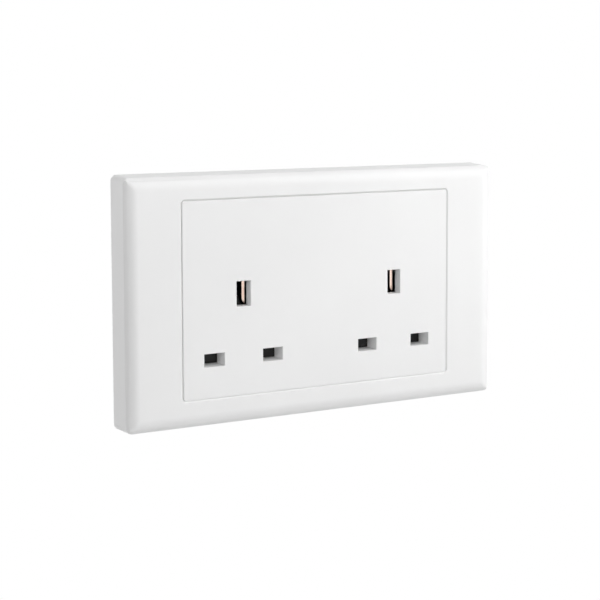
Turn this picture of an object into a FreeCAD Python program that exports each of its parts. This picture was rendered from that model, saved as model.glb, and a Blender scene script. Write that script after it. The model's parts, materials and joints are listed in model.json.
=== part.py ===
import FreeCAD, Part
import os
import Sketcher

# Twin 13 A socket outlet without switches, in millimetres.
# X runs along the width, +Y goes into the wall and +Z is up. The wall is the plane Y = 0.

SIZES = {
    # surround
    "projection": 12.5,
    "frame_width": 147.0,
    "frame_height": 87.4,
    "side_draft": 0.55,
    "shoulder_width": 4.55,
    "shoulder_depth": 2.05,
    "shoulder_radius": 6.1,
    "frame_corner_radius": 2.2,
    "frame_front_wall": 2.4,
    "frame_side_wall": 2.0,
    "opening_chamfer": 0.6,
    "lip_wall": 1.5,
    "lip_clearance": 0.5,
    "lip_length": 5.5,
    "barb_width": 7.0,
    "barb_thickness": 1.5,
    "barb_reach": 3.3,
    "barb_root": 0.5,
    "barb_height": 22.0,
    "barb_level": 2.65,
    # cover plate
    "side_band": 20.65,
    "top_band": 8.875,
    "bottom_band": 10.075,
    "plate_gap": 0.06,
    "plate_wall": 2.6,
    "plate_corner_radius": 0.8,
    "plate_edge_chamfer": 0.25,
    "skirt_inset": 0.59,
    "skirt_wall": 1.6,
    # slots of the outlets
    "outlet_margin": 22.64,
    "earth_offset": 1.3,
    "pin_drop": 22.23,
    "pin_spacing": 22.23,
    "slot_width": 7.6,
    "slot_height": 4.6,
    "slot_depth": 6.8,
    "earth_slot_width": 5.3,
    "earth_slot_height": 8.8,
    "earth_slot_depth": 3.8,
    "slot_chamfer": 0.15,
    "collar_wall": 1.2,
    # shutters and their carriers
    "running_gap": 0.3,
    "shutter_thickness": 2.5,
    "shutter_side_lap": 0.7,
    "shutter_end_lap": 0.8,
    "shutter_travel": 5.8,
    "stem_width": 9.2,
    "cam_width": 3.0,
    "cam_reach": 1.7,
    "cam_tail": 2.4,
    "cam_lead": 0.3,
    "cam_crown": 0.8,
    "spring_window_width": 4.4,
    "spring_window_margin": 1.2,
    "spring_window_crown": 1.6,
    "peg_width": 3.8,
    "peg_thickness": 1.6,
    "carrier_thickness": 1.5,
    "carrier_above": 7.3,
    "carrier_below": 8.6,
    "rail_wall": 1.4,
    "pin_window_width": 8.0,
    "pin_window_height": 5.2,
    "clip_window_clearance": 0.9,
    # springs
    "spring_diameter": 2.8,
    "spring_wire": 0.36,
    "spring_turns": 6.0,
    "spring_end_clearance": 0.05,
    # mounting frame
    "sheet_thickness": 1.2,
    "sheet_side_clearance": 2.5,
    "sheet_end_clearance": 2.2,
    "return_depth": 5.0,
    "sheet_corner_radius": 3.0,
    "box_hole_spacing": 120.6,
    "box_hole_radius": 2.0,
    "bead_width": 2.6,
    "bead_length": 17.0,
    "bead_depth": 0.5,
    "bead_slope": 0.4,
    "window_clearance": 0.5,
    "barb_clearance": 0.5,
    "tab_width": 8.0,
    "tab_inset": 14.0,
    "tab_lap": 1.4,
    "tab_clearance": 0.2,
    # rear body
    "flange_thickness": 1.7,
    "flange_side_ledge": 2.2,
    "flange_end_ledge": 3.575,
    "body_depth": 21.0,
    "body_step": 3.0,
    "body_wall": 1.6,
    "rear_edge_chamfer": 0.5,
    "body_corner_radius": 3.0,
    "cavity_side": 3.5,
    "cavity_above": 8.6,
    "cavity_floor": 16.0,
    "rib_offset": 13.0,
    "rib_wall": 1.6,
    "ledge_clearance": 0.4,
    "coring_web": 2.0,
    "coring_level": 4.0,
    "panel_depth": 0.8,
    "panel_margin": 3.0,
    "panel_web": 2.0,
    # contacts and busbars
    "strip_thickness": 1.0,
    "clip_thickness": 0.6,
    "bar_level": 8.0,
    "earth_bar_level": 12.8,
    "bar_width": 3.6,
    "bar_spread": 5.4,
    "earth_bar_width": 6.0,
    "earth_bar_margin": 4.0,
    "riser_width": 6.0,
    "earth_tab_width": 8.0,
    "crank_height": 3.5,
    "clip_width": 6.0,
    "clip_mouth": 5.8,
    "clip_pinch": 3.2,
    "clip_base": 4.8,
    "clip_front": 0.3,
    "earth_clip_thickness": 0.9,
    "earth_clip_height": 9.4,
    "earth_clip_mouth": 4.6,
    "earth_clip_front": 6.5,
    "earth_tip_height": 1.6,
    "earth_tip_width": 0.8,
    "earth_tip_depth": 2.0,
    "pinch_setback": 3.3,
    "earth_pinch_setback": 9.5,
    "pinch_bend": 2.0,
    "base_bend": 1.0,
    "bar_clearance": 0.3,
    "rivet_width": 2.4,
    "rivet_height": 1.4,
    "rivet_head_lap": 0.7,
    "rivet_head_depth": 0.5,
    "rivet_clearance": 0.05,
    # terminals
    "terminal_edge": 7.0,
    "terminal_width": 8.4,
    "terminal_height": 10.0,
    "terminal_depth": 8.5,
    "terminal_clearance": 0.3,
    "earth_terminal_width": 18.0,
    "conductor_spacing": 9.2,
    "conductor_radius": 2.2,
    "conductor_setback": 4.0,
    "pocket_side_clearance": 0.8,
    "pocket_wall": 1.8,
    "terminal_screw_radius": 1.7,
    "terminal_screw_clearance": 0.05,
    "terminal_screw_head_radius": 3.0,
    "terminal_screw_head_height": 2.0,
    "terminal_screw_standoff": 0.4,
    "terminal_screw_backoff": 0.2,
    "terminal_chamfer": 0.5,
    "driver_slot_width": 1.0,
    "driver_slot_depth": 1.0,
    # housing screws
    "upper_screw_edge": 10.175,
    "screw_boss_radius": 3.3,
    "screw_base_radius": 4.7,
    "screw_base_depth": 5.0,
    "screw_radius": 1.45,
    "screw_hole_radius": 1.65,
    "pilot_radius": 1.5,
    "pilot_depth": 5.6,
    "pilot_end_clearance": 0.4,
    "screw_seat": 14.0,
    "screw_head_radius": 3.0,
    "screw_head_height": 2.2,
    "counterbore_radius": 3.5,
}

# The springs are wound in straight runs, this many to a turn, from square wire. The reach is
# how far a square's corner lies from its middle, for a side of 1.
SPRING_TURN_RUNS = 10
SQUARE_REACH = 0.5**0.5

# A cut that must pass right through is made longer than the material by this factor.
OVERCUT = 1.1

doc = FreeCAD.newDocument("twin_socket_outlet")
sheet = doc.addObject("Spreadsheet::Sheet", "sizes")


class Size:
    """A length that keeps its value together with the sheet formula that drives it."""

    def __init__(self, value, formula):
        self.value = value
        self.formula = formula

    def __add__(self, other):
        other = as_size(other)
        return Size(self.value + other.value, f"({self.formula} + {other.formula})")

    def __radd__(self, other):
        return as_size(other) + self

    def __sub__(self, other):
        other = as_size(other)
        return Size(self.value - other.value, f"({self.formula} - {other.formula})")

    def __rsub__(self, other):
        return as_size(other) - self

    def __mul__(self, other):
        other = as_size(other)
        return Size(self.value * other.value, f"({self.formula} * {other.formula})")

    def __rmul__(self, other):
        return as_size(other) * self

    def __truediv__(self, other):
        other = as_size(other)
        return Size(self.value / other.value, f"({self.formula} / {other.formula})")

    def __neg__(self):
        return Size(-self.value, f"(0 - {self.formula})")


def as_size(thing):
    """Plain numbers join a formula as they are."""
    if isinstance(thing, Size):
        return thing
    return Size(float(thing), f"({float(thing)})")


def fill_sheet():
    """One row for each driving size: its name in column A and its value in column B."""
    for row, (name, value) in enumerate(SIZES.items(), 1):
        sheet.set(f"A{row}", name)
        sheet.set(f"B{row}", str(value))
        sheet.setAlias(f"B{row}", name)
    doc.recompute()


def size(name):
    return Size(float(sheet.get(name)), f"sizes.{name}")


def bind(thing, name, length):
    """Drive one property of an object from the sheet."""
    thing.setExpression(name, as_size(length).formula)


def new_body(name):
    body = doc.addObject("PartDesign::Body", name)
    body.Label = name
    return body


def sketch(body, plane, name, level):
    """A sketch on one of the body's own planes, at a level along that plane's normal."""
    drawing = body.newObject("Sketcher::SketchObject", name)
    role = f"{plane}_Plane"
    support = [feature for feature in body.Origin.OriginFeatures if feature.Role == role][0]
    drawing.AttachmentSupport = [(support, "")]
    drawing.MapMode = "FlatFace"
    level = as_size(level)
    offset = FreeCAD.Vector(0, 0, level.value)
    drawing.AttachmentOffset = FreeCAD.Placement(offset, FreeCAD.Rotation())
    bind(drawing, ".AttachmentOffset.Base.z", level)
    return drawing


def front_sketch(body, name, depth):
    """A sketch that faces the room, at a Y depth. Its normal points out of the wall."""
    return sketch(body, "XZ", name, -as_size(depth))


def place_point(drawing, geometry, point, x, y):
    """Dimension one point of a sketch from the origin, both ways."""
    for kind, length in (("DistanceX", as_size(x)), ("DistanceY", as_size(y))):
        rule = Sketcher.Constraint(kind, -1, 1, geometry, point, length.value)
        label = f"{kind}_{geometry}_{point}"
        drawing.renameConstraint(drawing.addConstraint(rule), label)
        bind(drawing, f"Constraints.{label}", length)


def outline(drawing, points):
    """A closed outline of straight lines through points, each dimensioned from the origin."""
    points = [(as_size(x), as_size(y)) for x, y in points]
    first = drawing.GeometryCount
    count = len(points)
    for index, start in enumerate(points):
        end = points[(index + 1) % count]
        line = Part.LineSegment(
            FreeCAD.Vector(start[0].value, start[1].value, 0),
            FreeCAD.Vector(end[0].value, end[1].value, 0),
        )
        drawing.addGeometry(line)
    for index in range(count):
        following = first + (index + 1) % count
        drawing.addConstraint(Sketcher.Constraint("Coincident", first + index, 2, following, 1))
    for index, (x, y) in enumerate(points):
        place_point(drawing, first + index, 1, x, y)


def rectangle(drawing, x, y, width, height):
    """A rectangle about a centre, with its width and height dimensioned."""
    x, y, width, height = (as_size(value) for value in (x, y, width, height))
    first = drawing.GeometryCount
    left = x - width / 2
    low = y - height / 2
    corners = [
        FreeCAD.Vector(left.value, low.value, 0),
        FreeCAD.Vector(left.value + width.value, low.value, 0),
        FreeCAD.Vector(left.value + width.value, low.value + height.value, 0),
        FreeCAD.Vector(left.value, low.value + height.value, 0),
    ]
    for index, corner in enumerate(corners):
        drawing.addGeometry(Part.LineSegment(corner, corners[(index + 1) % 4]))
    for index in range(4):
        following = first + (index + 1) % 4
        drawing.addConstraint(Sketcher.Constraint("Coincident", first + index, 2, following, 1))
        direction = "Vertical" if index % 2 else "Horizontal"
        drawing.addConstraint(Sketcher.Constraint(direction, first + index))
    place_point(drawing, first, 1, left, low)
    for kind, line, length in (("DistanceX", first, width), ("DistanceY", first + 1, height)):
        rule = Sketcher.Constraint(kind, line, 1, line, 2, length.value)
        label = f"Side_{line}"
        drawing.renameConstraint(drawing.addConstraint(rule), label)
        bind(drawing, f"Constraints.{label}", length)


def rivet_outline(drawing, x, z, allowance):
    """A rivet's flat section on a front sketch, larger all round by an allowance."""
    grown = 2 * as_size(allowance)
    rectangle(drawing, x, z, size("rivet_width") + grown, size("rivet_height") + grown)


def circle(drawing, x, y, radius):
    x, y, radius = (as_size(value) for value in (x, y, radius))
    centre = FreeCAD.Vector(x.value, y.value, 0)
    index = drawing.addGeometry(Part.Circle(centre, FreeCAD.Vector(0, 0, 1), radius.value))
    place_point(drawing, index, 3, x, y)
    label = f"Radius_{index}"
    rule = Sketcher.Constraint("Radius", index, radius.value)
    drawing.renameConstraint(drawing.addConstraint(rule), label)
    bind(drawing, f"Constraints.{label}", radius)


def pad(body, drawing, length, reverse=False, midplane=False):
    feature = body.newObject("PartDesign::Pad", f"{drawing.Name}_pad")
    feature.Profile = drawing
    feature.Reversed = reverse
    feature.Midplane = midplane
    bind(feature, "Length", length)
    drawing.Visibility = False
    doc.recompute()
    return feature


def pocket(body, drawing, length, reverse=False, midplane=False):
    """A pocket, tested to remove material."""
    before = body.Shape.Volume
    feature = body.newObject("PartDesign::Pocket", f"{drawing.Name}_pocket")
    feature.Profile = drawing
    feature.Reversed = reverse
    feature.Midplane = midplane
    bind(feature, "Length", length)
    doc.recompute()
    if not body.Shape.Volume < before - 1e-6:
        raise RuntimeError(f"{feature.Name} cuts nothing")
    return feature


def pad_inward(body, drawing, start, end):
    """Pad a front sketch from one depth into the wall to another."""
    return pad(body, drawing, as_size(end) - start, reverse=True)


def edge_names(shape, wanted):
    """The names of the edges for which a test on the edge is true."""
    return [f"Edge{index}" for index, edge in enumerate(shape.Edges, 1) if wanted(edge)]


def dress(body, kind, wanted, length, property_name):
    """A fillet or chamfer on the edges that a test picks."""
    base = body.Tip
    names = edge_names(base.Shape, wanted)
    if not names:
        raise RuntimeError(f"no edge for {kind} on {body.Name}")
    feature = body.newObject(f"PartDesign::{kind}", f"{body.Name}_{kind.lower()}")
    feature.Base = (base, names)
    bind(feature, property_name, length)
    doc.recompute()
    if feature.Shape.isNull() or "Invalid" in feature.State:
        raise RuntimeError(f"{feature.Name} failed")
    return feature


def fillet(body, wanted, radius):
    return dress(body, "Fillet", wanted, radius, "Radius")


def chamfer(body, wanted, length):
    return dress(body, "Chamfer", wanted, length, "Size")


def spans(edge):
    """How far an edge runs along each axis."""
    box = edge.BoundBox
    return box.XLength, box.YLength, box.ZLength


def lies_at(edge, **limits):
    """Is an edge wholly at the given X, Y or Z?"""
    return all(
        abs(getattr(vertex.Point, axis) - value) < 1e-4
        for vertex in edge.Vertexes
        for axis, value in limits.items()
    )


def runs_along(edge, axis):
    """Is an edge straight and parallel to an axis?"""
    lengths = dict(zip("xyz", spans(edge)))
    along = lengths.pop(axis)
    return along > 1e-4 and max(lengths.values()) < 1e-4


fill_sheet()
opening_width = size("frame_width") - 2 * size("side_band")
opening_height = size("frame_height") - size("top_band") - size("bottom_band")
plate_rise = (size("bottom_band") - size("top_band")) / 2
plate_width = opening_width - 2 * size("plate_gap")
plate_height = opening_height - 2 * size("plate_gap")
outlet_pitch = plate_width - 2 * size("outlet_margin")
inner_width = size("frame_width") - 2 * size("frame_side_wall")
inner_height = size("frame_height") - 2 * size("frame_side_wall")
sheet_width = inner_width - 2 * size("sheet_side_clearance")
sheet_height = inner_height - 2 * size("sheet_end_clearance")
front = -size("projection")
plate_back = front + size("plate_wall")
frame_front_back = front + size("frame_front_wall")
slot_end = front + size("slot_depth")
earth_slot_end = front + size("earth_slot_depth")
shutter_front = slot_end + size("running_gap")
shutter_back = shutter_front + size("shutter_thickness")
carrier_front = shutter_back + size("running_gap")
carrier_back = carrier_front + size("carrier_thickness")
flange_back = -size("sheet_thickness")
flange_front = flange_back - size("flange_thickness")
earth_height = plate_rise + size("earth_offset")
line_height = earth_height - size("pin_drop")
skirt_width = plate_width - 2 * size("skirt_inset")
skirt_height = plate_height - 2 * size("skirt_inset")
flange_height = skirt_height + 2 * (size("tab_lap") + size("tab_clearance"))
body_width = skirt_width - 2 * size("flange_side_ledge")
body_height = skirt_height - 2 * size("flange_end_ledge")
body_bottom = plate_rise - body_height / 2
body_top = plate_rise + body_height / 2
cavity_top = plate_rise + size("cavity_above")
pocket_bottom = cavity_top + size("pocket_wall")
strip_back = size("bar_level") + size("strip_thickness")
earth_strip_back = size("earth_bar_level") + size("strip_thickness")
earth_clip_bottom = earth_height - size("earth_clip_height") / 2
stem_top = earth_clip_bottom - 2 * size("running_gap")
shutter_top = line_height + size("slot_height") / 2 + size("shutter_end_lap")
shutter_bottom = line_height - size("slot_height") / 2 - size("shutter_end_lap")
window_top = stem_top - size("spring_window_crown")
window_bottom = shutter_top + size("spring_window_margin")
peg_bottom = window_bottom + size("running_gap")
peg_top = peg_bottom + size("peg_thickness")
terminal_bottom = pocket_bottom + size("terminal_clearance")
terminal_top = terminal_bottom + size("terminal_height")
terminal_middle = terminal_bottom + size("terminal_height") / 2
outlets = {"left": -outlet_pitch / 2, "right": outlet_pitch / 2}
line_slots = [
    (centre + side * size("pin_spacing") / 2, line_height)
    for centre in outlets.values()
    for side in (-1, 1)
]
earth_slots = [(centre, earth_height) for centre in outlets.values()]
terminal_offset = body_width / 2 - size("terminal_edge")
upper_screw_offset = terminal_offset / 2
upper_screw_height = plate_rise + skirt_height / 2 - size("upper_screw_edge")
housing_screw_places = [
    (-upper_screw_offset, upper_screw_height),
    (upper_screw_offset, upper_screw_height),
    (as_size(0), line_height),
]
shutter_half_width = size("pin_spacing") / 2 + size("slot_width") / 2 + size("shutter_side_lap")
carrier_width = 2 * (shutter_half_width + size("running_gap") + size("rail_wall"))
earth_mouth_depth = front + size("earth_clip_front")


def shoulder_arc(drawing, first, second, inside):
    """An arc of the shoulder's radius between the ends of two lines of a sketch.

    It bulges away from the point inside.
    """
    start = drawing.getPoint(*first)
    end = drawing.getPoint(*second)
    radius = size("shoulder_radius")
    chord = end - start
    middle = (start + end) / 2
    outward = FreeCAD.Vector(chord.y, -chord.x, 0).normalize()
    if outward.dot(middle - inside) < 0:
        outward = -outward
    rise = radius.value - (radius.value**2 - (chord.Length / 2) ** 2) ** 0.5
    arc = Part.Arc(start, middle + outward * rise, end)
    index = drawing.addGeometry(arc)
    ends = [drawing.getPoint(index, 1), drawing.getPoint(index, 2)]
    forward = ends[0].distanceToPoint(start) < ends[1].distanceToPoint(start)
    near, far = (1, 2) if forward else (2, 1)
    drawing.addConstraint(Sketcher.Constraint("Coincident", index, near, *first))
    drawing.addConstraint(Sketcher.Constraint("Coincident", index, far, *second))
    label = f"Radius_{index}"
    rule = Sketcher.Constraint("Radius", index, radius.value)
    drawing.renameConstraint(drawing.addConstraint(rule), label)
    bind(drawing, f"Constraints.{label}", radius)


def shell_profile(drawing, span, along_first):
    """The surround's section across one direction: drafted sides and arched shoulders.

    span is the full size at the wall. along_first says which sketch axis runs into the wall.
    """
    wall = span / 2
    edge = wall - size("side_draft")
    top = edge - size("shoulder_width")
    shoulder = front + size("shoulder_depth")
    places = [
        (-edge, shoulder),
        (-wall, as_size(0)),
        (wall, as_size(0)),
        (edge, shoulder),
        (top, front),
        (-top, front),
    ]
    if along_first:
        places = [(depth, across) for across, depth in places]
    lines = []
    for start, end in ((0, 1), (1, 2), (2, 3), (4, 5)):
        (x_start, y_start), (x_end, y_end) = places[start], places[end]
        segment = Part.LineSegment(
            FreeCAD.Vector(x_start.value, y_start.value, 0),
            FreeCAD.Vector(x_end.value, y_end.value, 0),
        )
        lines.append(drawing.addGeometry(segment))
    sides_left, base, sides_right, face = lines
    drawing.addConstraint(Sketcher.Constraint("Coincident", sides_left, 2, base, 1))
    drawing.addConstraint(Sketcher.Constraint("Coincident", base, 2, sides_right, 1))
    place_point(drawing, sides_left, 1, *places[0])
    place_point(drawing, base, 1, *places[1])
    place_point(drawing, base, 2, *places[2])
    place_point(drawing, sides_right, 2, *places[3])
    place_point(drawing, face, 1, *places[4])
    place_point(drawing, face, 2, *places[5])
    inside = FreeCAD.Vector(0, 0, 0)
    shoulder_arc(drawing, (sides_right, 2), (face, 1), inside)
    shoulder_arc(drawing, (face, 2), (sides_left, 1), inside)


def make_outer_frame():
    """The clip-on surround: one moulding, hollow from behind, open in the middle."""
    body = new_body("outer_frame")
    section = sketch(body, "XY", "frame_section", 0)
    shell_profile(section, size("frame_width"), along_first=False)
    pad(body, section, size("frame_height") * OVERCUT, midplane=True)

    trim = sketch(body, "YZ", "frame_trim", 0)
    margin = size("projection")
    trim_height = size("frame_height") * OVERCUT * OVERCUT
    rectangle(trim, front / 2, 0, size("projection") + 2 * margin, trim_height)
    shell_profile(trim, size("frame_height"), along_first=True)
    pocket(body, trim, size("frame_width") * OVERCUT, midplane=True)

    corner_x = size("frame_width").value / 2 - size("side_draft").value - 1e-3
    fillet(
        body,
        lambda edge: min(abs(vertex.Point.x) for vertex in edge.Vertexes) > corner_x
        and spans(edge)[1] > size("shoulder_depth").value * 2
        and spans(edge)[2] < size("shoulder_width").value,
        size("frame_corner_radius"),
    )

    hollow = front_sketch(body, "frame_hollow", 0)
    rectangle(hollow, 0, 0, inner_width, inner_height)
    pocket(body, hollow, -frame_front_back, reverse=True)

    lip = front_sketch(body, "frame_lip", frame_front_back)
    lip_width = opening_width + 2 * size("lip_clearance")
    lip_height = opening_height + 2 * size("lip_clearance")
    twice = 2 * size("lip_wall")
    rectangle(lip, 0, plate_rise, lip_width + twice, lip_height + twice)
    rectangle(lip, 0, plate_rise, lip_width, lip_height)
    pad_inward(body, lip, frame_front_back, frame_front_back + size("lip_length"))

    opening = front_sketch(body, "frame_opening", front)
    rectangle(opening, 0, plate_rise, opening_width, opening_height)
    pocket(body, opening, size("frame_front_wall"))
    opening_x = opening_width.value / 2
    fillet(
        body,
        lambda edge: runs_along(edge, "y")
        and abs(abs(edge.Vertexes[0].Point.x) - opening_x) < 1e-3
        and edge.BoundBox.YMax < frame_front_back.value + 1e-3,
        size("plate_corner_radius") + size("plate_gap"),
    )
    chamfer(
        body,
        lambda edge: lies_at(edge, y=front.value)
        and max(abs(vertex.Point.x) for vertex in edge.Vertexes) < opening_x + 1e-3
        and max(abs(vertex.Point.z) for vertex in edge.Vertexes) < opening_height.value / 2 + 1,
        size("opening_chamfer"),
    )

    barbs = front_sketch(body, "frame_barbs", -size("barb_level") - size("barb_thickness") / 2)
    for side in (-1, 1):
        for height in (-size("barb_height"), size("barb_height")):
            length = size("barb_reach") + size("barb_root")
            middle = side * (inner_width / 2 + size("barb_root") - length / 2)
            rectangle(barbs, middle, height, length, size("barb_width"))
    pad(body, barbs, size("barb_thickness"), reverse=True)
    return body


def make_cover_plate():
    """The centre plate: six slots with collars, a skirt and three screw bosses behind."""
    body = new_body("cover_plate")
    face = front_sketch(body, "plate_face", front)
    rectangle(face, 0, plate_rise, plate_width, plate_height)
    pad_inward(body, face, front, plate_back)
    fillet(body, lambda edge: runs_along(edge, "y"), size("plate_corner_radius"))
    chamfer(body, lambda edge: lies_at(edge, y=front.value), size("plate_edge_chamfer"))

    skirt = front_sketch(body, "plate_skirt", plate_back)
    rectangle(skirt, 0, plate_rise, skirt_width, skirt_height)
    inner = 2 * size("skirt_wall")
    rectangle(skirt, 0, plate_rise, skirt_width - inner, skirt_height - inner)
    pad_inward(body, skirt, plate_back, flange_front)

    collars = front_sketch(body, "slot_collars", plate_back)
    wall = 2 * size("collar_wall")
    for x, z in line_slots:
        rectangle(collars, x, z, size("slot_width") + wall, size("slot_height") + wall)
    pad_inward(body, collars, plate_back, slot_end)

    earth_collars = front_sketch(body, "earth_collars", plate_back)
    for x, z in earth_slots:
        width = size("earth_slot_width") + wall
        rectangle(earth_collars, x, z, width, size("earth_slot_height") + wall)
    pad_inward(body, earth_collars, plate_back, earth_slot_end)

    bosses = front_sketch(body, "plate_bosses", plate_back)
    for x, z in housing_screw_places:
        circle(bosses, x, z, size("screw_boss_radius"))
    pad_inward(body, bosses, plate_back, flange_front)

    slots = front_sketch(body, "plate_slots", front)
    for x, z in line_slots:
        rectangle(slots, x, z, size("slot_width"), size("slot_height"))
    for x, z in earth_slots:
        rectangle(slots, x, z, size("earth_slot_width"), size("earth_slot_height"))
    pocket(body, slots, size("slot_depth"))
    inside_x = (plate_width / 2 - size("plate_wall")).value
    chamfer(
        body,
        lambda edge: lies_at(edge, y=front.value)
        and max(abs(vertex.Point.x) for vertex in edge.Vertexes) < inside_x
        and max(spans(edge)) < plate_width.value / 2,
        size("slot_chamfer"),
    )

    pilots = front_sketch(body, "plate_pilots", flange_front)
    for x, z in housing_screw_places:
        circle(pilots, x, z, size("pilot_radius"))
    pocket(body, pilots, size("pilot_depth"), reverse=True)
    return body


def make_mounting_frame():
    """The pressed steel frame: a floor with a window, a turned edge, holes, beads and tabs."""
    body = new_body("mounting_frame")
    blank = front_sketch(body, "sheet_blank", -size("return_depth"))
    rectangle(blank, 0, 0, sheet_width, sheet_height)
    pad_inward(body, blank, -size("return_depth"), 0)
    fillet(body, lambda edge: runs_along(edge, "y"), size("sheet_corner_radius"))

    tray = front_sketch(body, "sheet_tray", -size("return_depth"))
    twice = 2 * size("sheet_thickness")
    rectangle(tray, 0, 0, sheet_width - twice, sheet_height - twice)
    pocket(body, tray, size("return_depth") - size("sheet_thickness"))
    tray_x = (sheet_width.value - twice.value) / 2
    fillet(
        body,
        lambda edge: runs_along(edge, "y") and abs(abs(edge.Vertexes[0].Point.x) - tray_x) < 1e-3,
        size("sheet_corner_radius") - size("sheet_thickness"),
    )

    window = front_sketch(body, "sheet_window", -size("sheet_thickness"))
    clear = 2 * size("window_clearance")
    rectangle(window, 0, plate_rise, body_width + clear, body_height + clear)
    for side in (-1, 1):
        circle(window, side * size("box_hole_spacing") / 2, 0, size("box_hole_radius"))
    pocket(body, window, size("sheet_thickness"))

    bead_x = (sheet_width / 2 + body_width / 2) / 2
    bead_z = (sheet_height / 2 + size("box_hole_radius")) / 2
    hollows = front_sketch(body, "bead_hollows", 0)
    crowns = front_sketch(body, "bead_crowns", -size("sheet_thickness"))
    for side in (-1, 1):
        for direction in (-1, 1):
            place = (side * bead_x, direction * bead_z)
            rectangle(hollows, *place, size("bead_width"), size("bead_length"))
            grown = 2 * size("bead_slope")
            rectangle(crowns, *place, size("bead_width") + grown, size("bead_length") + grown)
    pocket(body, hollows, size("bead_depth"), reverse=True)
    pad(body, crowns, size("bead_depth"))

    window_depth = size("barb_thickness") + size("barb_clearance")
    slots = front_sketch(body, "barb_windows", -size("barb_level") - window_depth / 2)
    for side in (-1, 1):
        for height in (-size("barb_height"), size("barb_height")):
            x = side * (sheet_width / 2 - size("sheet_thickness") / 2)
            rectangle(slots, x, height, twice, size("barb_width") + 2 * size("barb_clearance"))
    pocket(body, slots, window_depth)

    for side, label in ((-1, "left"), (1, "right")):
        tabs = sketch(body, "YZ", f"hook_tabs_{label}", side * (body_width / 2 - size("tab_inset")))
        for direction in (-1, 1):
            inner = flange_height / 2 + size("tab_clearance")
            outer = inner + size("sheet_thickness")
            lap = inner - size("tab_lap")
            crown = flange_front - size("sheet_thickness")
            root = -size("sheet_thickness") / 2
            profile = [(root, inner), (flange_front, inner), (flange_front, lap)]
            profile += [(crown, lap), (crown, outer), (root, outer)]
            outline(tabs, [(y, plate_rise + direction * z) for y, z in profile])
        pad(body, tabs, size("tab_width"), midplane=True)
    return body


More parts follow.
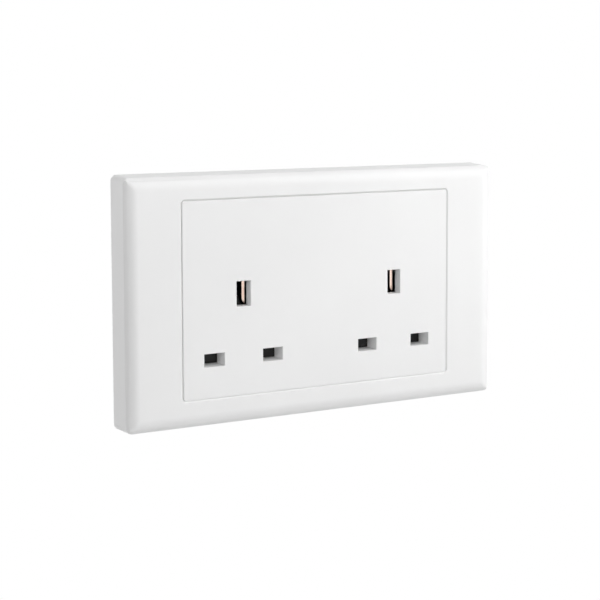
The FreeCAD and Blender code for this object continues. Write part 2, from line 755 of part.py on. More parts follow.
def make_rear_body():
    """The rear housing: flange, stepped block, contact cavity, ribs, pockets and panels."""
    body = new_body("rear_body")
    flange = front_sketch(body, "body_flange", flange_front)
    rectangle(flange, 0, plate_rise, skirt_width, flange_height)
    pad_inward(body, flange, flange_front, flange_back)
    fillet(body, lambda edge: runs_along(edge, "y"), size("plate_corner_radius"))

    block = front_sketch(body, "body_block", flange_back)
    rectangle(block, 0, plate_rise, body_width, body_height)
    pad_inward(body, block, flange_back, size("body_depth"))
    block_x = body_width.value / 2
    fillet(
        body,
        lambda edge: runs_along(edge, "y") and abs(abs(edge.Vertexes[0].Point.x) - block_x) < 1e-3,
        size("body_corner_radius"),
    )

    step = front_sketch(body, "body_step_cut", size("body_depth"))
    step_top = cavity_top
    step_height = step_top - body_bottom
    rectangle(step, 0, body_bottom + step_height / 2, body_width, step_height)
    pocket(body, step, size("body_step"), reverse=True)
    rear_levels = (size("body_depth").value, size("body_depth").value - size("body_step").value)
    chamfer(
        body,
        lambda edge: any(lies_at(edge, y=level) for level in rear_levels)
        and not lies_at(edge, z=step_top.value),
        size("rear_edge_chamfer"),
    )

    cavity = front_sketch(body, "body_cavity", flange_front)
    cavity_bottom = body_bottom + size("body_wall")
    cavity_height = cavity_top - cavity_bottom
    cavity_width = body_width - 2 * size("cavity_side")
    rectangle(cavity, 0, cavity_bottom + cavity_height / 2, cavity_width, cavity_height)
    pocket(body, cavity, size("cavity_floor") - flange_front)

    ledge = front_sketch(body, "carrier_ledge", flange_front)
    clear = size("ledge_clearance")
    ledge_bottom = line_height - size("carrier_below") - clear
    ledge_top = earth_height + size("carrier_above") + clear
    ledge_width = outlet_pitch + carrier_width + 2 * clear
    rectangle(ledge, 0, (ledge_bottom + ledge_top) / 2, ledge_width, ledge_top - ledge_bottom)
    pocket(body, ledge, carrier_back - flange_front)

    ribs = front_sketch(body, "body_ribs", carrier_back)
    for side in (-1, 1):
        middle = cavity_bottom + cavity_height / 2
        rectangle(ribs, side * size("rib_offset"), middle, size("rib_wall"), cavity_height)
    pad_inward(body, ribs, carrier_back, size("cavity_floor"))

    notch_width = 2 * (size("rib_offset") + size("rib_wall"))
    clear = size("bar_clearance")
    notches = front_sketch(body, "bar_notches", carrier_back)
    for direction in (-1, 1):
        middle = line_height + direction * size("bar_spread")
        rectangle(notches, 0, middle, notch_width, size("bar_width") + 2 * clear)
    pocket(body, notches, strip_back - carrier_back)
    earth_notch = front_sketch(body, "earth_bar_notch", carrier_back)
    rectangle(earth_notch, 0, earth_height, notch_width, size("earth_bar_width") + 2 * clear)
    pocket(body, earth_notch, earth_strip_back - carrier_back)

    post = front_sketch(body, "screw_post", flange_front)
    circle(post, 0, line_height, size("screw_boss_radius"))
    pad_inward(body, post, flange_front, size("cavity_floor"))
    post_base = front_sketch(body, "screw_post_base", size("cavity_floor") - size("screw_base_depth"))
    circle(post_base, 0, line_height, size("screw_base_radius"))
    pad_inward(body, post_base, size("cavity_floor") - size("screw_base_depth"), size("cavity_floor"))

    pockets = front_sketch(body, "terminal_pockets", size("body_depth"))
    pocket_height = body_top - pocket_bottom
    pocket_middle = pocket_bottom + pocket_height / 2
    side_clear = 2 * size("pocket_side_clearance")
    for x, width in (
        (-terminal_offset, size("terminal_width")),
        (as_size(0), size("earth_terminal_width")),
        (terminal_offset, size("terminal_width")),
    ):
        rectangle(pockets, x, pocket_middle, width + side_clear, pocket_height)
    pocket(body, pockets, size("body_depth") - size("bar_level"), reverse=True)

    coring = front_sketch(body, "rear_coring", size("body_depth"))
    coring_height = pocket_height - size("body_wall")
    coring_start = upper_screw_offset + size("counterbore_radius") + size("coring_web")
    pocket_side = size("terminal_width") / 2 + size("pocket_side_clearance")
    coring_end = terminal_offset - pocket_side - size("coring_web")
    for side in (-1, 1):
        across = side * (coring_start + coring_end) / 2
        middle = pocket_bottom + coring_height / 2
        rectangle(coring, across, middle, coring_end - coring_start, coring_height)
    pocket(body, coring, size("body_depth") - size("coring_level"), reverse=True)

    panels = front_sketch(body, "rear_panels", size("body_depth") - size("body_step"))
    panel_low = body_bottom + size("panel_margin")
    panel_height = (step_top - size("panel_web") - panel_low - size("panel_web")) / 2
    panel_start = size("screw_base_radius") + size("panel_web")
    panel_end = body_width / 2 - size("panel_margin")
    panel_width = (panel_end - panel_start - size("panel_web")) / 2
    for side in (-1, 1):
        for column in (0, 1):
            across = panel_start + panel_width / 2 + column * (panel_width + size("panel_web"))
            for row in (0, 1):
                middle = panel_low + panel_height / 2 + row * (panel_height + size("panel_web"))
                rectangle(panels, side * across, middle, panel_width, panel_height)
    pocket(body, panels, size("panel_depth"), reverse=True)

    slot_clear = size("bar_clearance") / 2
    passages = front_sketch(body, "strip_passages", size("bar_level") - slot_clear)
    wall_middle = (cavity_top + pocket_bottom) / 2
    for x, width in (
        (-terminal_offset, size("riser_width")),
        (as_size(0), size("earth_tab_width")),
        (terminal_offset, size("riser_width")),
    ):
        passage_width = width + 2 * size("bar_clearance")
        rectangle(passages, x, wall_middle, passage_width, size("pocket_wall") * OVERCUT)
    pocket(body, passages, size("strip_thickness") + 2 * slot_clear)

    holes = front_sketch(body, "screw_holes", flange_front)
    for x, z in housing_screw_places:
        circle(holes, x, z, size("screw_hole_radius"))
    pocket(body, holes, size("body_depth") - flange_front)
    seats = front_sketch(body, "screw_seats", size("body_depth"))
    for x, z in housing_screw_places:
        circle(seats, x, z, size("counterbore_radius"))
    pocket(body, seats, size("body_depth") - size("screw_seat"), reverse=True)
    return body


def make_carrier(side, centre):
    """The guide plate behind one shutter: windows for pins and clips, two rails and a peg."""
    body = new_body(f"{side}_carrier")
    bottom = line_height - size("carrier_below")
    top = earth_height + size("carrier_above")
    plate = front_sketch(body, f"{side}_carrier_plate", carrier_front)
    rectangle(plate, centre, (bottom + top) / 2, carrier_width, top - bottom)
    pad_inward(body, plate, carrier_front, carrier_back)
    fillet(body, lambda edge: runs_along(edge, "y"), size("plate_corner_radius"))

    rails = front_sketch(body, f"{side}_carrier_rails", shutter_front)
    rail_x = (carrier_width - size("rail_wall")) / 2
    rail_height = shutter_top - bottom
    for direction in (-1, 1):
        middle = centre + direction * rail_x
        rectangle(rails, middle, bottom + rail_height / 2, size("rail_wall"), rail_height)
    pad_inward(body, rails, shutter_front, carrier_front)

    peg = front_sketch(body, f"{side}_spring_peg", shutter_front)
    rectangle(peg, centre, (peg_bottom + peg_top) / 2, size("peg_width"), size("peg_thickness"))
    pad_inward(body, peg, shutter_front, carrier_front)

    windows = front_sketch(body, f"{side}_pin_windows", carrier_front)
    for direction in (-1, 1):
        x = centre + direction * size("pin_spacing") / 2
        rectangle(windows, x, line_height, size("pin_window_width"), size("pin_window_height"))
    clear = size("clip_window_clearance")
    window_low = window_top - size("shutter_travel") - size("running_gap")
    window_high = earth_height + size("earth_clip_height") / 2 + clear
    width = size("earth_clip_mouth") + 2 * (size("earth_clip_thickness") + clear)
    rectangle(windows, centre, (window_low + window_high) / 2, width, window_high - window_low)
    pocket(body, windows, size("carrier_thickness"))
    return body


def make_shutter(side, centre):
    """One black shutter: a bar over the line and neutral slots, a stem and the cam on it."""
    body = new_body(f"{side}_shutter")
    plate = front_sketch(body, f"{side}_shutter_plate", shutter_front)
    half_stem = size("stem_width") / 2
    outline(
        plate,
        [
            (centre - shutter_half_width, shutter_bottom),
            (centre + shutter_half_width, shutter_bottom),
            (centre + shutter_half_width, shutter_top),
            (centre + half_stem, shutter_top),
            (centre + half_stem, stem_top),
            (centre - half_stem, stem_top),
            (centre - half_stem, shutter_top),
            (centre - shutter_half_width, shutter_top),
        ],
    )
    pad_inward(body, plate, shutter_front, shutter_back)

    window = front_sketch(body, f"{side}_spring_window", shutter_front)
    height = window_top - window_bottom
    rectangle(window, centre, window_bottom + height / 2, size("spring_window_width"), height)
    pocket(body, window, size("shutter_thickness"))

    cam = sketch(body, "YZ", f"{side}_cam", centre)
    cam_front = shutter_front - size("cam_reach")
    cam_back = shutter_back + size("cam_tail")
    cam_low = earth_height - size("earth_slot_height") / 2 - size("cam_lead")
    cam_high = cam_low + size("shutter_travel") + 2 * size("cam_lead")
    outline(
        cam,
        [
            (cam_front, cam_low - size("cam_width") / 2),
            (cam_front, cam_low),
            (cam_back - size("cam_crown"), cam_high),
            (cam_back, cam_high),
            (cam_back, stem_top),
            (shutter_back, window_top),
            (shutter_front, window_top),
        ],
    )
    pad(body, cam, size("cam_width"), midplane=True)
    return body


def make_spring(side, centre):
    """One coil spring between its peg and the crown of the shutter's window.

    Its wire is square and its turns are straight runs, to keep a piece so small light.
    """
    name = f"{side}_shutter_spring"
    half_wire = SQUARE_REACH * size("spring_wire")
    coil_radius = size("spring_diameter") / 2 - half_wire
    bottom = peg_top + half_wire + size("spring_end_clearance")
    height = window_top - bottom - half_wire - size("spring_end_clearance")
    runs = round(size("spring_turns").value * SPRING_TURN_RUNS)
    corners = []
    for index in range(runs + 1):
        turn = FreeCAD.Rotation(FreeCAD.Vector(0, 0, 1), 360 * index / SPRING_TURN_RUNS)
        arm = turn.multVec(FreeCAD.Vector(coil_radius.value, 0, 0))
        corners.append(arm + FreeCAD.Vector(0, 0, height.value * index / runs))
    path = doc.addObject("Part::Polygon", f"{side}_spring_path")
    path.Nodes = corners
    path.Close = False
    section = doc.addObject("Part::RegularPolygon", f"{side}_spring_section")
    section.Polygon = 4
    bind(section, "Circumradius", half_wire)
    first_run = FreeCAD.Rotation(FreeCAD.Vector(0, 0, 1), corners[1] - corners[0])
    section.Placement = FreeCAD.Placement(corners[0], first_run)
    coil = doc.addObject("Part::Sweep", name)
    coil.Sections = [section]
    coil.Spine = (path, [f"Edge{index}" for index in range(1, runs + 1)])
    coil.Solid = True
    coil.Transition = "Right corner"
    coil.Label = name
    middle = (shutter_front + shutter_back) / 2
    coil.Placement = FreeCAD.Placement(
        FreeCAD.Vector(centre.value, middle.value, bottom.value), FreeCAD.Rotation()
    )
    bind(coil, ".Placement.Base.x", centre)
    bind(coil, ".Placement.Base.y", middle)
    bind(coil, ".Placement.Base.z", bottom)
    doc.recompute()
    return coil


def make_clip(name, plane, across, level, form):
    """A folded contact: a base on its busbar and two leaves that pinch the pin.

    across and level place it, and form holds the sizes that its kind of clip has.
    """
    body = new_body(name)
    profile = sketch(body, plane, f"{name}_profile", level)
    thick = form["thickness"]
    mouth = form["mouth_depth"]
    bar_level = form["bar_level"]
    pinch = mouth + form["pinch_setback"]
    base = bar_level - thick
    gaps = [form["mouth"] / 2, size("clip_pinch") / 2, size("clip_base") / 2]
    inner = list(zip((mouth, pinch, base), gaps))
    outer = list(zip((bar_level, pinch, mouth), (gap + thick for gap in gaps[::-1])))
    ordered = [(depth, across - gap) for depth, gap in inner[::-1]]
    ordered += [(depth, across - gap) for depth, gap in outer[::-1]]
    ordered += [(depth, across + gap) for depth, gap in outer]
    ordered += [(depth, across + gap) for depth, gap in inner]
    if plane == "XY":
        ordered = [(gap, depth) for depth, gap in ordered]
    outline(profile, ordered)
    pad(body, profile, form["width"], midplane=True)
    along = "z" if plane == "XY" else "x"
    fillet(
        body,
        lambda edge: runs_along(edge, along) and lies_at(edge, y=pinch.value),
        size("pinch_bend"),
    )
    fillet(
        body,
        lambda edge: runs_along(edge, along) and lies_at(edge, y=bar_level.value),
        size("base_bend"),
    )
    hole = front_sketch(body, f"{name}_rivet_hole", base)
    x, z = (across, level) if plane == "XY" else (level, across)
    rivet_outline(hole, x, z, size("rivet_clearance"))
    pocket(body, hole, thick)
    return body


def taper_earth_tips(body, centre):
    """Bevel the four tips of an earth clip on the pin's side, so that the pin finds its way."""
    tips = front_sketch(body, f"{body.Name}_tips", earth_mouth_depth)
    half_mouth = size("earth_clip_mouth") / 2
    half_height = size("earth_clip_height") / 2
    free = size("earth_clip_thickness") / 2
    for side in (-1, 1):
        inner = centre + side * (half_mouth - free)
        outer = centre + side * (half_mouth + size("earth_tip_width"))
        slope = (free + size("earth_tip_width")) / size("earth_tip_width")
        for end in (-1, 1):
            edge = earth_height + end * half_height
            start = edge - end * slope * size("earth_tip_height")
            outline(tips, [(inner, start), (outer, edge), (inner, edge)])
    pocket(body, tips, size("earth_tip_depth"))


def make_line_busbar(name, direction, clip_places, terminal_x):
    """A flat comb of brass: a bar past the clips, a tab to each of them and a riser."""
    body = new_body(name)
    near = line_height + direction * (size("bar_spread") - size("bar_width") / 2)
    far = line_height + direction * (size("bar_spread") + size("bar_width") / 2)
    tab_end = line_height - direction * (size("clip_base") / 2 + size("clip_thickness"))
    half_tab = size("clip_width") / 2
    half_riser = size("riser_width") / 2
    low, high = (near, far) if direction > 0 else (far, near)
    sheet_sketch = front_sketch(body, f"{name}_bar", size("bar_level"))
    ends = [x - half_tab for x in clip_places] + [x + half_tab for x in clip_places]
    ends += [terminal_x - half_riser, terminal_x + half_riser]
    left = min(ends, key=lambda end: end.value)
    right = max(ends, key=lambda end: end.value)
    rectangle(sheet_sketch, (left + right) / 2, (low + high) / 2, right - left, high - low)
    pad_inward(body, sheet_sketch, size("bar_level"), strip_back)
    for index, x in enumerate(clip_places):
        tab = front_sketch(body, f"{name}_tab_{index}", size("bar_level"))
        middle = (near + tab_end) / 2
        height = (near - tab_end) * direction
        rectangle(tab, x, middle, 2 * half_tab, height)
        pad_inward(body, tab, size("bar_level"), strip_back)
    riser = front_sketch(body, f"{name}_riser", size("bar_level"))
    riser_height = terminal_top - low
    rectangle(riser, terminal_x, low + riser_height / 2, 2 * half_riser, riser_height)
    pad_inward(body, riser, size("bar_level"), strip_back)
    holes = front_sketch(body, f"{name}_holes", size("bar_level"))
    for x in clip_places:
        rivet_outline(holes, x, line_height, size("rivet_clearance"))
    pocket(body, holes, size("strip_thickness"))
    return body


def make_earth_busbar():
    """The earth strip: a bar behind both earth clips and a cranked tab to the terminal."""
    body = new_body("earth_busbar")
    bar = front_sketch(body, "earth_bar", size("earth_bar_level"))
    length = outlet_pitch + 2 * size("earth_bar_margin")
    rectangle(bar, 0, earth_height, length, size("earth_bar_width"))
    pad_inward(body, bar, size("earth_bar_level"), earth_strip_back)
    crank = sketch(body, "YZ", "earth_crank", 0)
    thick = size("strip_thickness")
    bar_top = earth_height + size("earth_bar_width") / 2
    bend_top = bar_top + size("crank_height")
    outline(
        crank,
        [
            (size("earth_bar_level"), bar_top - thick),
            (earth_strip_back, bar_top - thick),
            (earth_strip_back, bar_top),
            (strip_back, bend_top),
            (strip_back, terminal_top),
            (size("bar_level"), terminal_top),
            (size("bar_level"), bend_top - thick / 2),
            (size("earth_bar_level"), bar_top - thick / 2),
        ],
    )
    pad(body, crank, size("earth_tab_width"), midplane=True)
    holes = front_sketch(body, "earth_bar_holes", size("earth_bar_level"))
    for x, z in earth_slots:
        rivet_outline(holes, x, z, size("rivet_clearance"))
    pocket(body, holes, thick)
    return body


def make_terminal(name, centre, width, conductors):
    """A brass block on its strip, with a bore for each conductor and a hole for its screw."""
    body = new_body(name)
    block = front_sketch(body, f"{name}_block", strip_back)
    rectangle(block, centre, terminal_middle, width, size("terminal_height"))
    pad_inward(body, block, strip_back, strip_back + size("terminal_depth"))
    rear = (strip_back + size("terminal_depth")).value
    chamfer(body, lambda edge: lies_at(edge, y=rear), size("terminal_chamfer"))
    bore_depth = strip_back + size("conductor_setback")
    bores = sketch(body, "XY", f"{name}_bores", terminal_top)
    for x in conductors:
        circle(bores, x, bore_depth, size("conductor_radius"))
    pocket(body, bores, size("terminal_height"))
    threads = front_sketch(body, f"{name}_threads", strip_back + size("terminal_depth"))
    for x in conductors:
        thread_radius = size("terminal_screw_radius") + size("terminal_screw_clearance")
        circle(threads, x, terminal_middle, thread_radius)
    pocket(body, threads, size("terminal_depth") - size("conductor_setback"), reverse=True)
    return body


def make_terminal_screws(name, places):
    """Cheese-head screws, backed off so that the bores below them are clear."""
    body = new_body(name)
    seat = strip_back + size("terminal_depth") + size("terminal_screw_standoff")
    bore_top = strip_back + size("conductor_setback") + size("conductor_radius")
    tip = bore_top + size("terminal_screw_backoff")
    shank = front_sketch(body, f"{name}_shank", tip)
    for x in places:
        circle(shank, x, terminal_middle, size("terminal_screw_radius"))
    pad_inward(body, shank, tip, seat)
    top = seat + size("terminal_screw_head_height")
    head = front_sketch(body, f"{name}_head", seat)
    for x in places:
        circle(head, x, terminal_middle, size("terminal_screw_head_radius"))
    pad_inward(body, head, seat, top)
    slot = front_sketch(body, f"{name}_slot", top)
    for x in places:
        length = 2 * OVERCUT * size("terminal_screw_head_radius")
        rectangle(slot, x, terminal_middle, size("driver_slot_width"), length)
    pocket(body, slot, size("driver_slot_depth"), reverse=True)
    return body


def make_clip_rivets():
    """Six flat rivets, one through each clip's base and its strip, flush on the pin's side."""
    body = new_body("clip_rivets")
    groups = {
        "line": (line_slots, size("bar_level"), size("clip_thickness")),
        "earth": (earth_slots, size("earth_bar_level"), size("earth_clip_thickness")),
    }
    for label, (group, level, thickness) in groups.items():
        clip_face = level - thickness
        rear_face = level + size("strip_thickness")
        for part, start, end, lap in (
            ("shank", clip_face, rear_face, 0),
            ("head", rear_face, rear_face + size("rivet_head_depth"), size("rivet_head_lap")),
        ):
            drawing = front_sketch(body, f"rivet_{label}_{part}", start)
            for x, z in group:
                rivet_outline(drawing, x, z, lap)
            pad_inward(body, drawing, start, end)
    return body


def make_housing_screws():
    """Three like screws from the rear body into the cover plate's bosses."""
    body = new_body("housing_screws")
    tip = flange_front - size("pilot_depth") + size("pilot_end_clearance")
    seat = size("screw_seat")
    top = seat + size("screw_head_height")
    for part, start, end, radius in (
        ("shank", tip, seat, size("screw_radius")),
        ("head", seat, top, size("screw_head_radius")),
    ):
        drawing = front_sketch(body, f"housing_screw_{part}", start)
        for x, z in housing_screw_places:
            circle(drawing, x, z, radius)
        pad_inward(body, drawing, start, end)
    slot = front_sketch(body, "housing_screw_slots", top)
    for x, z in housing_screw_places:
        length = 2 * OVERCUT * size("screw_head_radius")
        rectangle(slot, x, z, length, size("driver_slot_width"))
    pocket(body, slot, size("driver_slot_depth"), reverse=True)
    return body


parts = [make_outer_frame(), make_cover_plate(), make_mounting_frame(), make_rear_body()]
half_spacing = size("pin_spacing") / 2
line_clip = {
    "thickness": size("clip_thickness"),
    "mouth": size("clip_mouth"),
    "mouth_depth": carrier_back + size("clip_front"),
    "pinch_setback": size("pinch_setback"),
    "bar_level": size("bar_level"),
    "width": size("clip_width"),
}
earth_clip = {
    "thickness": size("earth_clip_thickness"),
    "mouth": size("earth_clip_mouth"),
    "mouth_depth": earth_mouth_depth,
    "pinch_setback": size("earth_pinch_setback"),
    "bar_level": size("earth_bar_level"),
    "width": size("earth_clip_height"),
}
for side, centre in outlets.items():
    parts.append(make_carrier(side, centre))
    parts.append(make_shutter(side, centre))
    parts.append(make_spring(side, centre))
    for line, x in (("neutral", centre - half_spacing), ("live", centre + half_spacing)):
        parts.append(make_clip(f"{line}_clip_{side}", "YZ", line_height, x, line_clip))
    clip = make_clip(f"earth_clip_{side}", "XY", centre, earth_height, earth_clip)
    taper_earth_tips(clip, centre)
    parts.append(clip)
neutral_places = [centre - half_spacing for centre in outlets.values()]
live_places = [centre + half_spacing for centre in outlets.values()]
parts.append(make_line_busbar("neutral_busbar", -1, neutral_places, -terminal_offset))
parts.append(make_line_busbar("live_busbar", 1, live_places, terminal_offset))
parts.append(make_earth_busbar())
earth_conductors = [-size("conductor_spacing") / 2, size("conductor_spacing") / 2]
for line, x in (("neutral", -terminal_offset), ("live", terminal_offset)):
    parts.append(make_terminal(f"{line}_terminal", x, size("terminal_width"), [x]))
    parts.append(make_terminal_screws(f"{line}_terminal_screw", [x]))
parts.append(make_terminal("earth_terminal", as_size(0), size("earth_terminal_width"), earth_conductors))
parts.append(make_terminal_screws("earth_terminal_screws", earth_conductors))
parts.append(make_clip_rivets())
parts.append(make_housing_screws())

doc.recompute()
failed = [thing.Name for thing in doc.Objects if "Invalid" in thing.State or "Error" in thing.State]
if failed:
    raise RuntimeError(f"failed objects: {failed}")
for part in parts:
    if part.Shape.isNull() or not part.Shape.isValid():
        raise RuntimeError(f"{part.Label} has no valid shape")

os.makedirs("parts", exist_ok=True)
for part in parts:
    part.Shape.exportStep(f"parts/{part.Label}.step")
    print(part.Label, len(part.Shape.Solids), round(part.Shape.Volume, 2))
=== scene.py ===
import json
import math

import bpy
from mathutils import Matrix, Vector


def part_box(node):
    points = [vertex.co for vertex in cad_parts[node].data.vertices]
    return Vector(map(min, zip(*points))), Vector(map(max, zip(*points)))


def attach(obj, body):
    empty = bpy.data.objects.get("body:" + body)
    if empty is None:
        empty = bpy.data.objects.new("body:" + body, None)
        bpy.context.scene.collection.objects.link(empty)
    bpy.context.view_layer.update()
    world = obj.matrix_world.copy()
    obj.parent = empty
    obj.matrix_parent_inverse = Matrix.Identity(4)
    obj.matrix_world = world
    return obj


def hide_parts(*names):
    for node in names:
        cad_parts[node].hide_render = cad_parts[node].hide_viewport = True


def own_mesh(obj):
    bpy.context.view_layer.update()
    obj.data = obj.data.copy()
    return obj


# Looks, light and camera for a twin wall outlet. Lengths are in metres.

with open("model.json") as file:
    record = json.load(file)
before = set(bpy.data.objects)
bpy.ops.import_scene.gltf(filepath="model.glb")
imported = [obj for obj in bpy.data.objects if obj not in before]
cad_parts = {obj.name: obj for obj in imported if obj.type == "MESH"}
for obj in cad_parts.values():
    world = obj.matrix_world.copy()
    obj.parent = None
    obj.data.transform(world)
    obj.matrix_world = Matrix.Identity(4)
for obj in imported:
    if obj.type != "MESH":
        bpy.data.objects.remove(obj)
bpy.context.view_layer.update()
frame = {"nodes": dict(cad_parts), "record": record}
nodes = frame["nodes"]

MM = 0.001


class Signal:
    """A value in a material's node tree, so that shader maths reads as an expression."""

    def __init__(self, sheet, socket):
        self.sheet = sheet
        self.socket = socket

    def _maths(self, operation, first, second):
        return self.sheet.node("ShaderNodeMath", {"operation": operation}, {0: first, 1: second})

    def __add__(self, other):
        return self._maths("ADD", self, other)

    def __radd__(self, other):
        return self._maths("ADD", other, self)

    def __sub__(self, other):
        return self._maths("SUBTRACT", self, other)

    def __rsub__(self, other):
        return self._maths("SUBTRACT", other, self)

    def __mul__(self, other):
        return self._maths("MULTIPLY", self, other)

    def __rmul__(self, other):
        return self._maths("MULTIPLY", other, self)


class Sheet:
    """The node tree of a material or of the world, and the socket that its surface goes to."""

    def __init__(self, tree, output_kind):
        self.tree = tree
        tree.nodes.clear()
        self.surface = self.node(output_kind, {}, {}, "Surface").socket

    def node(self, kind, settings, inputs, socket=0):
        """Make any node: settings first, then the values or links of its sockets.

        It gives the socket asked for: one of its outputs, or an input where it has no outputs.
        """
        made = self.tree.nodes.new(kind)
        for key, value in settings.items():
            setattr(made, key, value)
        for key, value in inputs.items():
            self.feed(made.inputs[key], value)
        return Signal(self, (made.outputs or made.inputs)[socket])

    def feed(self, socket, value):
        """Link a signal to a socket, or set the socket to a plain value."""
        if isinstance(value, Signal):
            self.tree.links.new(value.socket, socket)
        else:
            socket.default_value = value

    def show_where_seen(self, lit, seen):
        """Show one surface to the camera and to mirrors, and light the scene by the other."""
        rays = ("Is Camera Ray", "Is Glossy Ray", "Is Transmission Ray")
        camera, glossy, through = (self.node("ShaderNodeLightPath", {}, {}, ray) for ray in rays)
        inputs = {0: camera + glossy + through, 1: lit, 2: seen}
        self.feed(self.surface, self.node("ShaderNodeMixShader", {}, inputs))


class Finish(Sheet):
    """One material under construction: its nodes, its shader and what it is made of."""

    def __init__(self, name):
        self.material = bpy.data.materials.new(name)
        self.material.use_nodes = True
        super().__init__(self.material.node_tree, "ShaderNodeOutputMaterial")
        self.shader = self.node("ShaderNodeBsdfPrincipled", {}, {})
        self.feed(self.surface, self.shader)
        self.place = self.node("ShaderNodeTexCoord", {}, {}, "Object")

    def set(self, **values):
        """Give the main shader's sockets values or signals, named with underscores."""
        sockets = self.shader.socket.node.inputs
        for key, value in values.items():
            self.feed(sockets[key.replace("_", " ")], value)

    def stretched(self, x, y, z):
        """The object's own coordinates, scaled along each axis."""
        settings = {"vector_type": "POINT"}
        return self.node("ShaderNodeMapping", settings, {"Vector": self.place, "Scale": (x, y, z)})

    def noise(self, scale, detail, place=None):
        """Soft blots: the scale says how many come in a metre."""
        inputs = {"Vector": place or self.place, "Scale": scale, "Detail": detail}
        return self.node("ShaderNodeTexNoise", {}, inputs)

    def ramp(self, value, low, high):
        """Spread the stretch from low to high over 0 to 1."""
        inputs = {"Value": value, "From Min": low, "From Max": high}
        return self.node("ShaderNodeMapRange", {"clamp": True}, inputs)

    def mix(self, factor, first, second):
        """Blend two colours."""
        inputs = {0: factor, 6: first, 7: second}
        return self.node("ShaderNodeMix", {"data_type": "RGBA"}, inputs, 2)

    def bump(self, height, distance, strength=1.0):
        """A relief whose full height is the distance, in metres."""
        inputs = {"Height": height, "Distance": distance, "Strength": strength}
        return self.node("ShaderNodeBump", {}, inputs)


def grey(level):
    """A neutral colour."""
    return (level, level, level, 1.0)


def moulded_white():
    """Urea moulding: a clean satin white with a faint flow pattern and a barely open grain."""
    finish = Finish("moulded_white")
    flow = finish.noise(22.0, 2.0)
    grain = finish.noise(1900.0, 3.0)
    handling = finish.ramp(finish.noise(75.0, 5.0), 0.35, 0.75)
    finish.set(
        Base_Color=finish.mix(finish.ramp(flow, 0.3, 0.7), grey(0.835), grey(0.865)),
        Roughness=0.33 + handling * 0.07 + grain * 0.04,
        Normal=finish.bump(grain * 0.6 + flow * 0.4, 0.004 * MM),
        Specular_IOR_Level=0.45,
    )
    return finish


def moulded_black():
    """Glass-filled shutter moulding: near black, matt, with pale rubbed grain."""
    finish = Finish("moulded_black")
    grain = finish.noise(1400.0, 4.0)
    rub = finish.ramp(finish.noise(260.0, 5.0), 0.5, 0.78)
    finish.set(
        Base_Color=finish.mix(rub, grey(0.016), grey(0.034)),
        Roughness=0.5 + grain * 0.18,
        Normal=finish.bump(grain, 0.012 * MM),
        Specular_IOR_Level=0.4,
    )
    return finish


def moulded_grey(name, dark, light, roughness):
    """The unseen mouldings: an eroded tool surface with drag lines from the mould."""
    finish = Finish(name)
    spark = finish.noise(900.0, 4.0)
    drag = finish.noise(60.0, 4.0, place=finish.stretched(9.0, 0.6, 9.0))
    cloud = finish.noise(35.0, 3.0)
    mask = finish.ramp(drag * 0.5 + cloud * 0.5, 0.35, 0.65)
    finish.set(
        Base_Color=finish.mix(mask, grey(dark), grey(light)),
        Roughness=roughness + spark * 0.15,
        Normal=finish.bump(spark * 0.8 + drag * 0.2, 0.02 * MM),
        Specular_IOR_Level=0.45,
    )
    return finish


def zinc_sheet():
    """Zinc-plated pressing: rolled lines, soft mottling and dull patches."""
    finish = Finish("zinc_sheet")
    rolled = finish.noise(40.0, 3.0, place=finish.stretched(0.7, 30.0, 30.0))
    mottle = finish.ramp(finish.noise(130.0, 5.0), 0.3, 0.72)
    patch = finish.ramp(finish.noise(28.0, 3.0), 0.42, 0.66)
    base = finish.mix(mottle, (0.52, 0.54, 0.57, 1), (0.66, 0.67, 0.69, 1))
    finish.set(
        Base_Color=finish.mix(patch * 0.5, base, (0.46, 0.47, 0.47, 1)),
        Metallic=1.0,
        Roughness=0.3 + mottle * 0.1 + patch * 0.12,
        Normal=finish.bump(rolled, 0.01 * MM),
    )
    return finish


def rolled_alloy(name, dark, light, tarnish, roughness):
    """Rolled contact strip: fine lines along its length and a little tarnish."""
    finish = Finish(name)
    lines = finish.noise(90.0, 4.0, place=finish.stretched(8.0, 1.0, 26.0))
    stain = finish.ramp(finish.noise(170.0, 5.0), 0.5, 0.8)
    base = finish.mix(finish.ramp(lines, 0.3, 0.7), dark, light)
    finish.set(
        Base_Color=finish.mix(stain * 0.6, base, tarnish),
        Metallic=1.0,
        Roughness=roughness + lines * 0.12 + stain * 0.12,
        Normal=finish.bump(lines, 0.006 * MM),
    )
    return finish


def turned_metal(name, dark, light, roughness):
    """Turned and drilled parts: tool marks as fine rings, with bright and dull bands."""
    finish = Finish(name)
    rings = finish.node(
        "ShaderNodeTexWave",
        {"wave_type": "RINGS", "rings_direction": "Y"},
        {"Vector": finish.place, "Scale": 520.0, "Distortion": 2.5, "Detail": 2.0},
    )
    wear = finish.ramp(finish.noise(320.0, 5.0), 0.35, 0.75)
    finish.set(
        Base_Color=finish.mix(wear, dark, light),
        Metallic=1.0,
        Roughness=roughness + wear * 0.14,
        Normal=finish.bump(rings, 0.008 * MM, 0.6),
    )
    return finish


